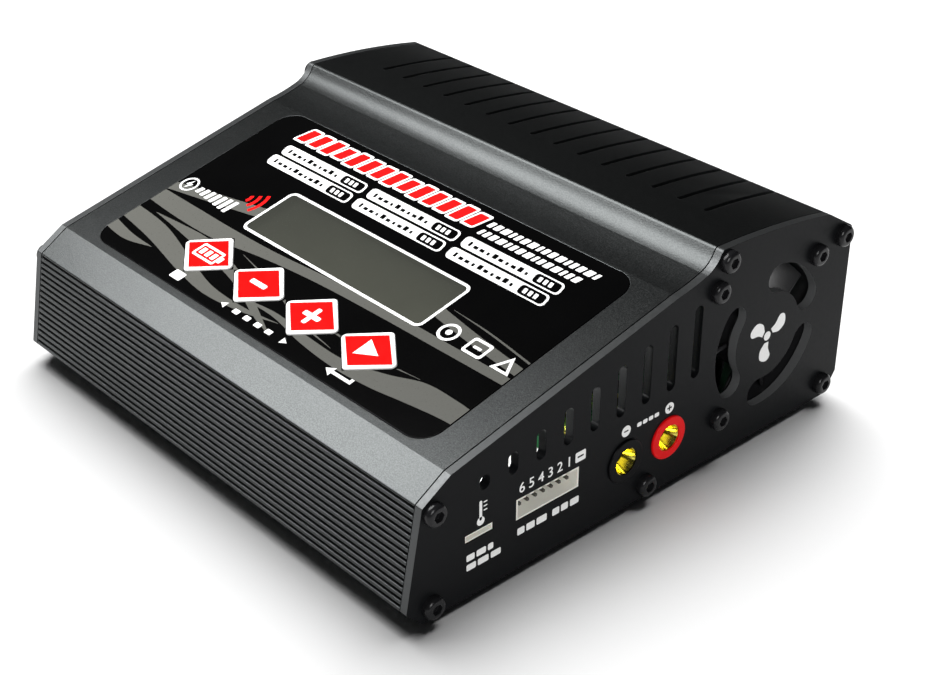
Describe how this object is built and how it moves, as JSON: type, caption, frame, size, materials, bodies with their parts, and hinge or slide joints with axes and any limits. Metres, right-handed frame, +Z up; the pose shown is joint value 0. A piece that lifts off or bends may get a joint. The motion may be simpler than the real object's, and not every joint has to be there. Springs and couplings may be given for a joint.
{
  "type": "balance battery charger",
  "caption": "Wedge-shaped balance charger for hobby battery packs: ribbed black metal case, sloping key panel with display, fan grille and output sockets on one end.",
  "frame": {"origin": "on the table, under the middle of the case", "axes": "+X towards the right end plate with the fan and the outputs, +Y towards the back, +Z up"},
  "size_m": [0.1615, 0.1483, 0.061],
  "materials": {
    "black_anodised_case": "fine blasted, black anodised",
    "black_plate": "satin black",
    "black_screw_steel": "glossy black oxide",
    "zinc_steel": "bright zinc plate",
    "foot_rubber": "matt",
    "panel_film": "printed glossy black",
    "clear_window": "clear, smooth",
    "key_red": "glossy red with white rim",
    "switch_plastic": "moulded",
    "display_metal": "black bezel",
    "lcd_glass": "grey liquid-crystal glass",
    "diffuser": "milky",
    "circuit_board": "green solder mask",
    "cable_grey": "grey ribbon",
    "fan_plastic": "glass-filled black",
    "sintered_bronze": "sintered",
    "motor_steel": "laminated",
    "copper_wire": "enamelled copper",
    "cream_nylon": "natural nylon",
    "black_nylon": "moulded black",
    "red_nylon": "moulded red",
    "gold_brass": "bright gold plate",
    "black_silicone": "silicone",
    "red_silicone": "silicone",
    "sink_aluminium": "raw extrusion",
    "iron_powder": "painted powder core",
    "capacitor_sleeve": "shrunk sleeve"
  },
  "bodies": {
    "charger": {"balance_board": "circuit_board", "balance_header": "cream_nylon", "board_screws": "zinc_steel", "board_standoffs": "zinc_steel", "buzzer": "switch_plastic", "capacitors": "capacitor_sleeve", "case_extrusion": "black_anodised_case", "control_board": "circuit_board", "controller_chip": "switch_plastic", "display_backlight": "diffuser", "display_bezel": "display_metal", "display_board": "circuit_board", "display_glass": "lcd_glass", "display_window": "clear_window", "fan_bearing": "sintered_bronze", "fan_coils": "copper_wire", "fan_frame": "fan_plastic", "fan_lead": "fan_plastic", "fan_screws": "black_screw_steel", "fan_stator": "motor_steel", "floor_screws": "zinc_steel", "header_pins": "zinc_steel", "heat_sink": "sink_aluminium", "inductor_cores": "iron_powder", "inductor_windings": "copper_wire", "input_contacts": "gold_brass", "input_screws": "zinc_steel", "input_socket": "black_nylon", "left_end_plate": "black_plate", "main_board": "circuit_board", "negative_socket_bush": "black_nylon", "negative_wires": "black_silicone", "panel_overlay": "panel_film", "panel_screws": "zinc_steel", "panel_spacers": "zinc_steel", "panel_standoffs": "zinc_steel", "plate_screws": "black_screw_steel", "positive_socket_bush": "red_nylon", "positive_wires": "red_silicone", "power_transistors": "switch_plastic", "ribbon_cable": "cable_grey", "right_end_plate": "black_plate", "rubber_feet": "foot_rubber", "sensor_socket": "cream_nylon", "socket_contacts": "gold_brass", "socket_nuts": "gold_brass", "switch_bodies": "switch_plastic", "usb_shell": "zinc_steel", "usb_tongue": "black_nylon"},
    "stop_button": {"stop_key": "key_red", "stop_switch_plunger": "switch_plastic"},
    "decrease_button": {"decrease_key": "key_red", "decrease_switch_plunger": "switch_plastic"},
    "increase_button": {"increase_key": "key_red", "increase_switch_plunger": "switch_plastic"},
    "start_button": {"start_key": "key_red", "start_switch_plunger": "switch_plastic"},
    "fan_impeller": {"fan_rotor": "fan_plastic", "fan_magnet": "motor_steel", "fan_shaft": "zinc_steel"}
  },
  "joints": [
    {"name": "stop_press", "type": "slide", "parent": "charger", "child": "stop_button", "axis": [0, 0.2284, -0.9736], "range_m": [0, 0.0004], "stiffness_N_per_m": 400, "springref_m": -0.001},
    {"name": "decrease_press", "type": "slide", "parent": "charger", "child": "decrease_button", "axis": [0, 0.2284, -0.9736], "range_m": [0, 0.0004], "stiffness_N_per_m": 400, "springref_m": -0.001},
    {"name": "increase_press", "type": "slide", "parent": "charger", "child": "increase_button", "axis": [0, 0.2284, -0.9736], "range_m": [0, 0.0004], "stiffness_N_per_m": 400, "springref_m": -0.001},
    {"name": "start_press", "type": "slide", "parent": "charger", "child": "start_button", "axis": [0, 0.2284, -0.9736], "range_m": [0, 0.0004], "stiffness_N_per_m": 400, "springref_m": -0.001},
    {"name": "fan_spin", "type": "hinge", "parent": "charger", "child": "fan_impeller", "pos_m": [0.0711, 0.0435, 0.0301], "axis": [1, 0, 0], "continuous": true}
  ]
}
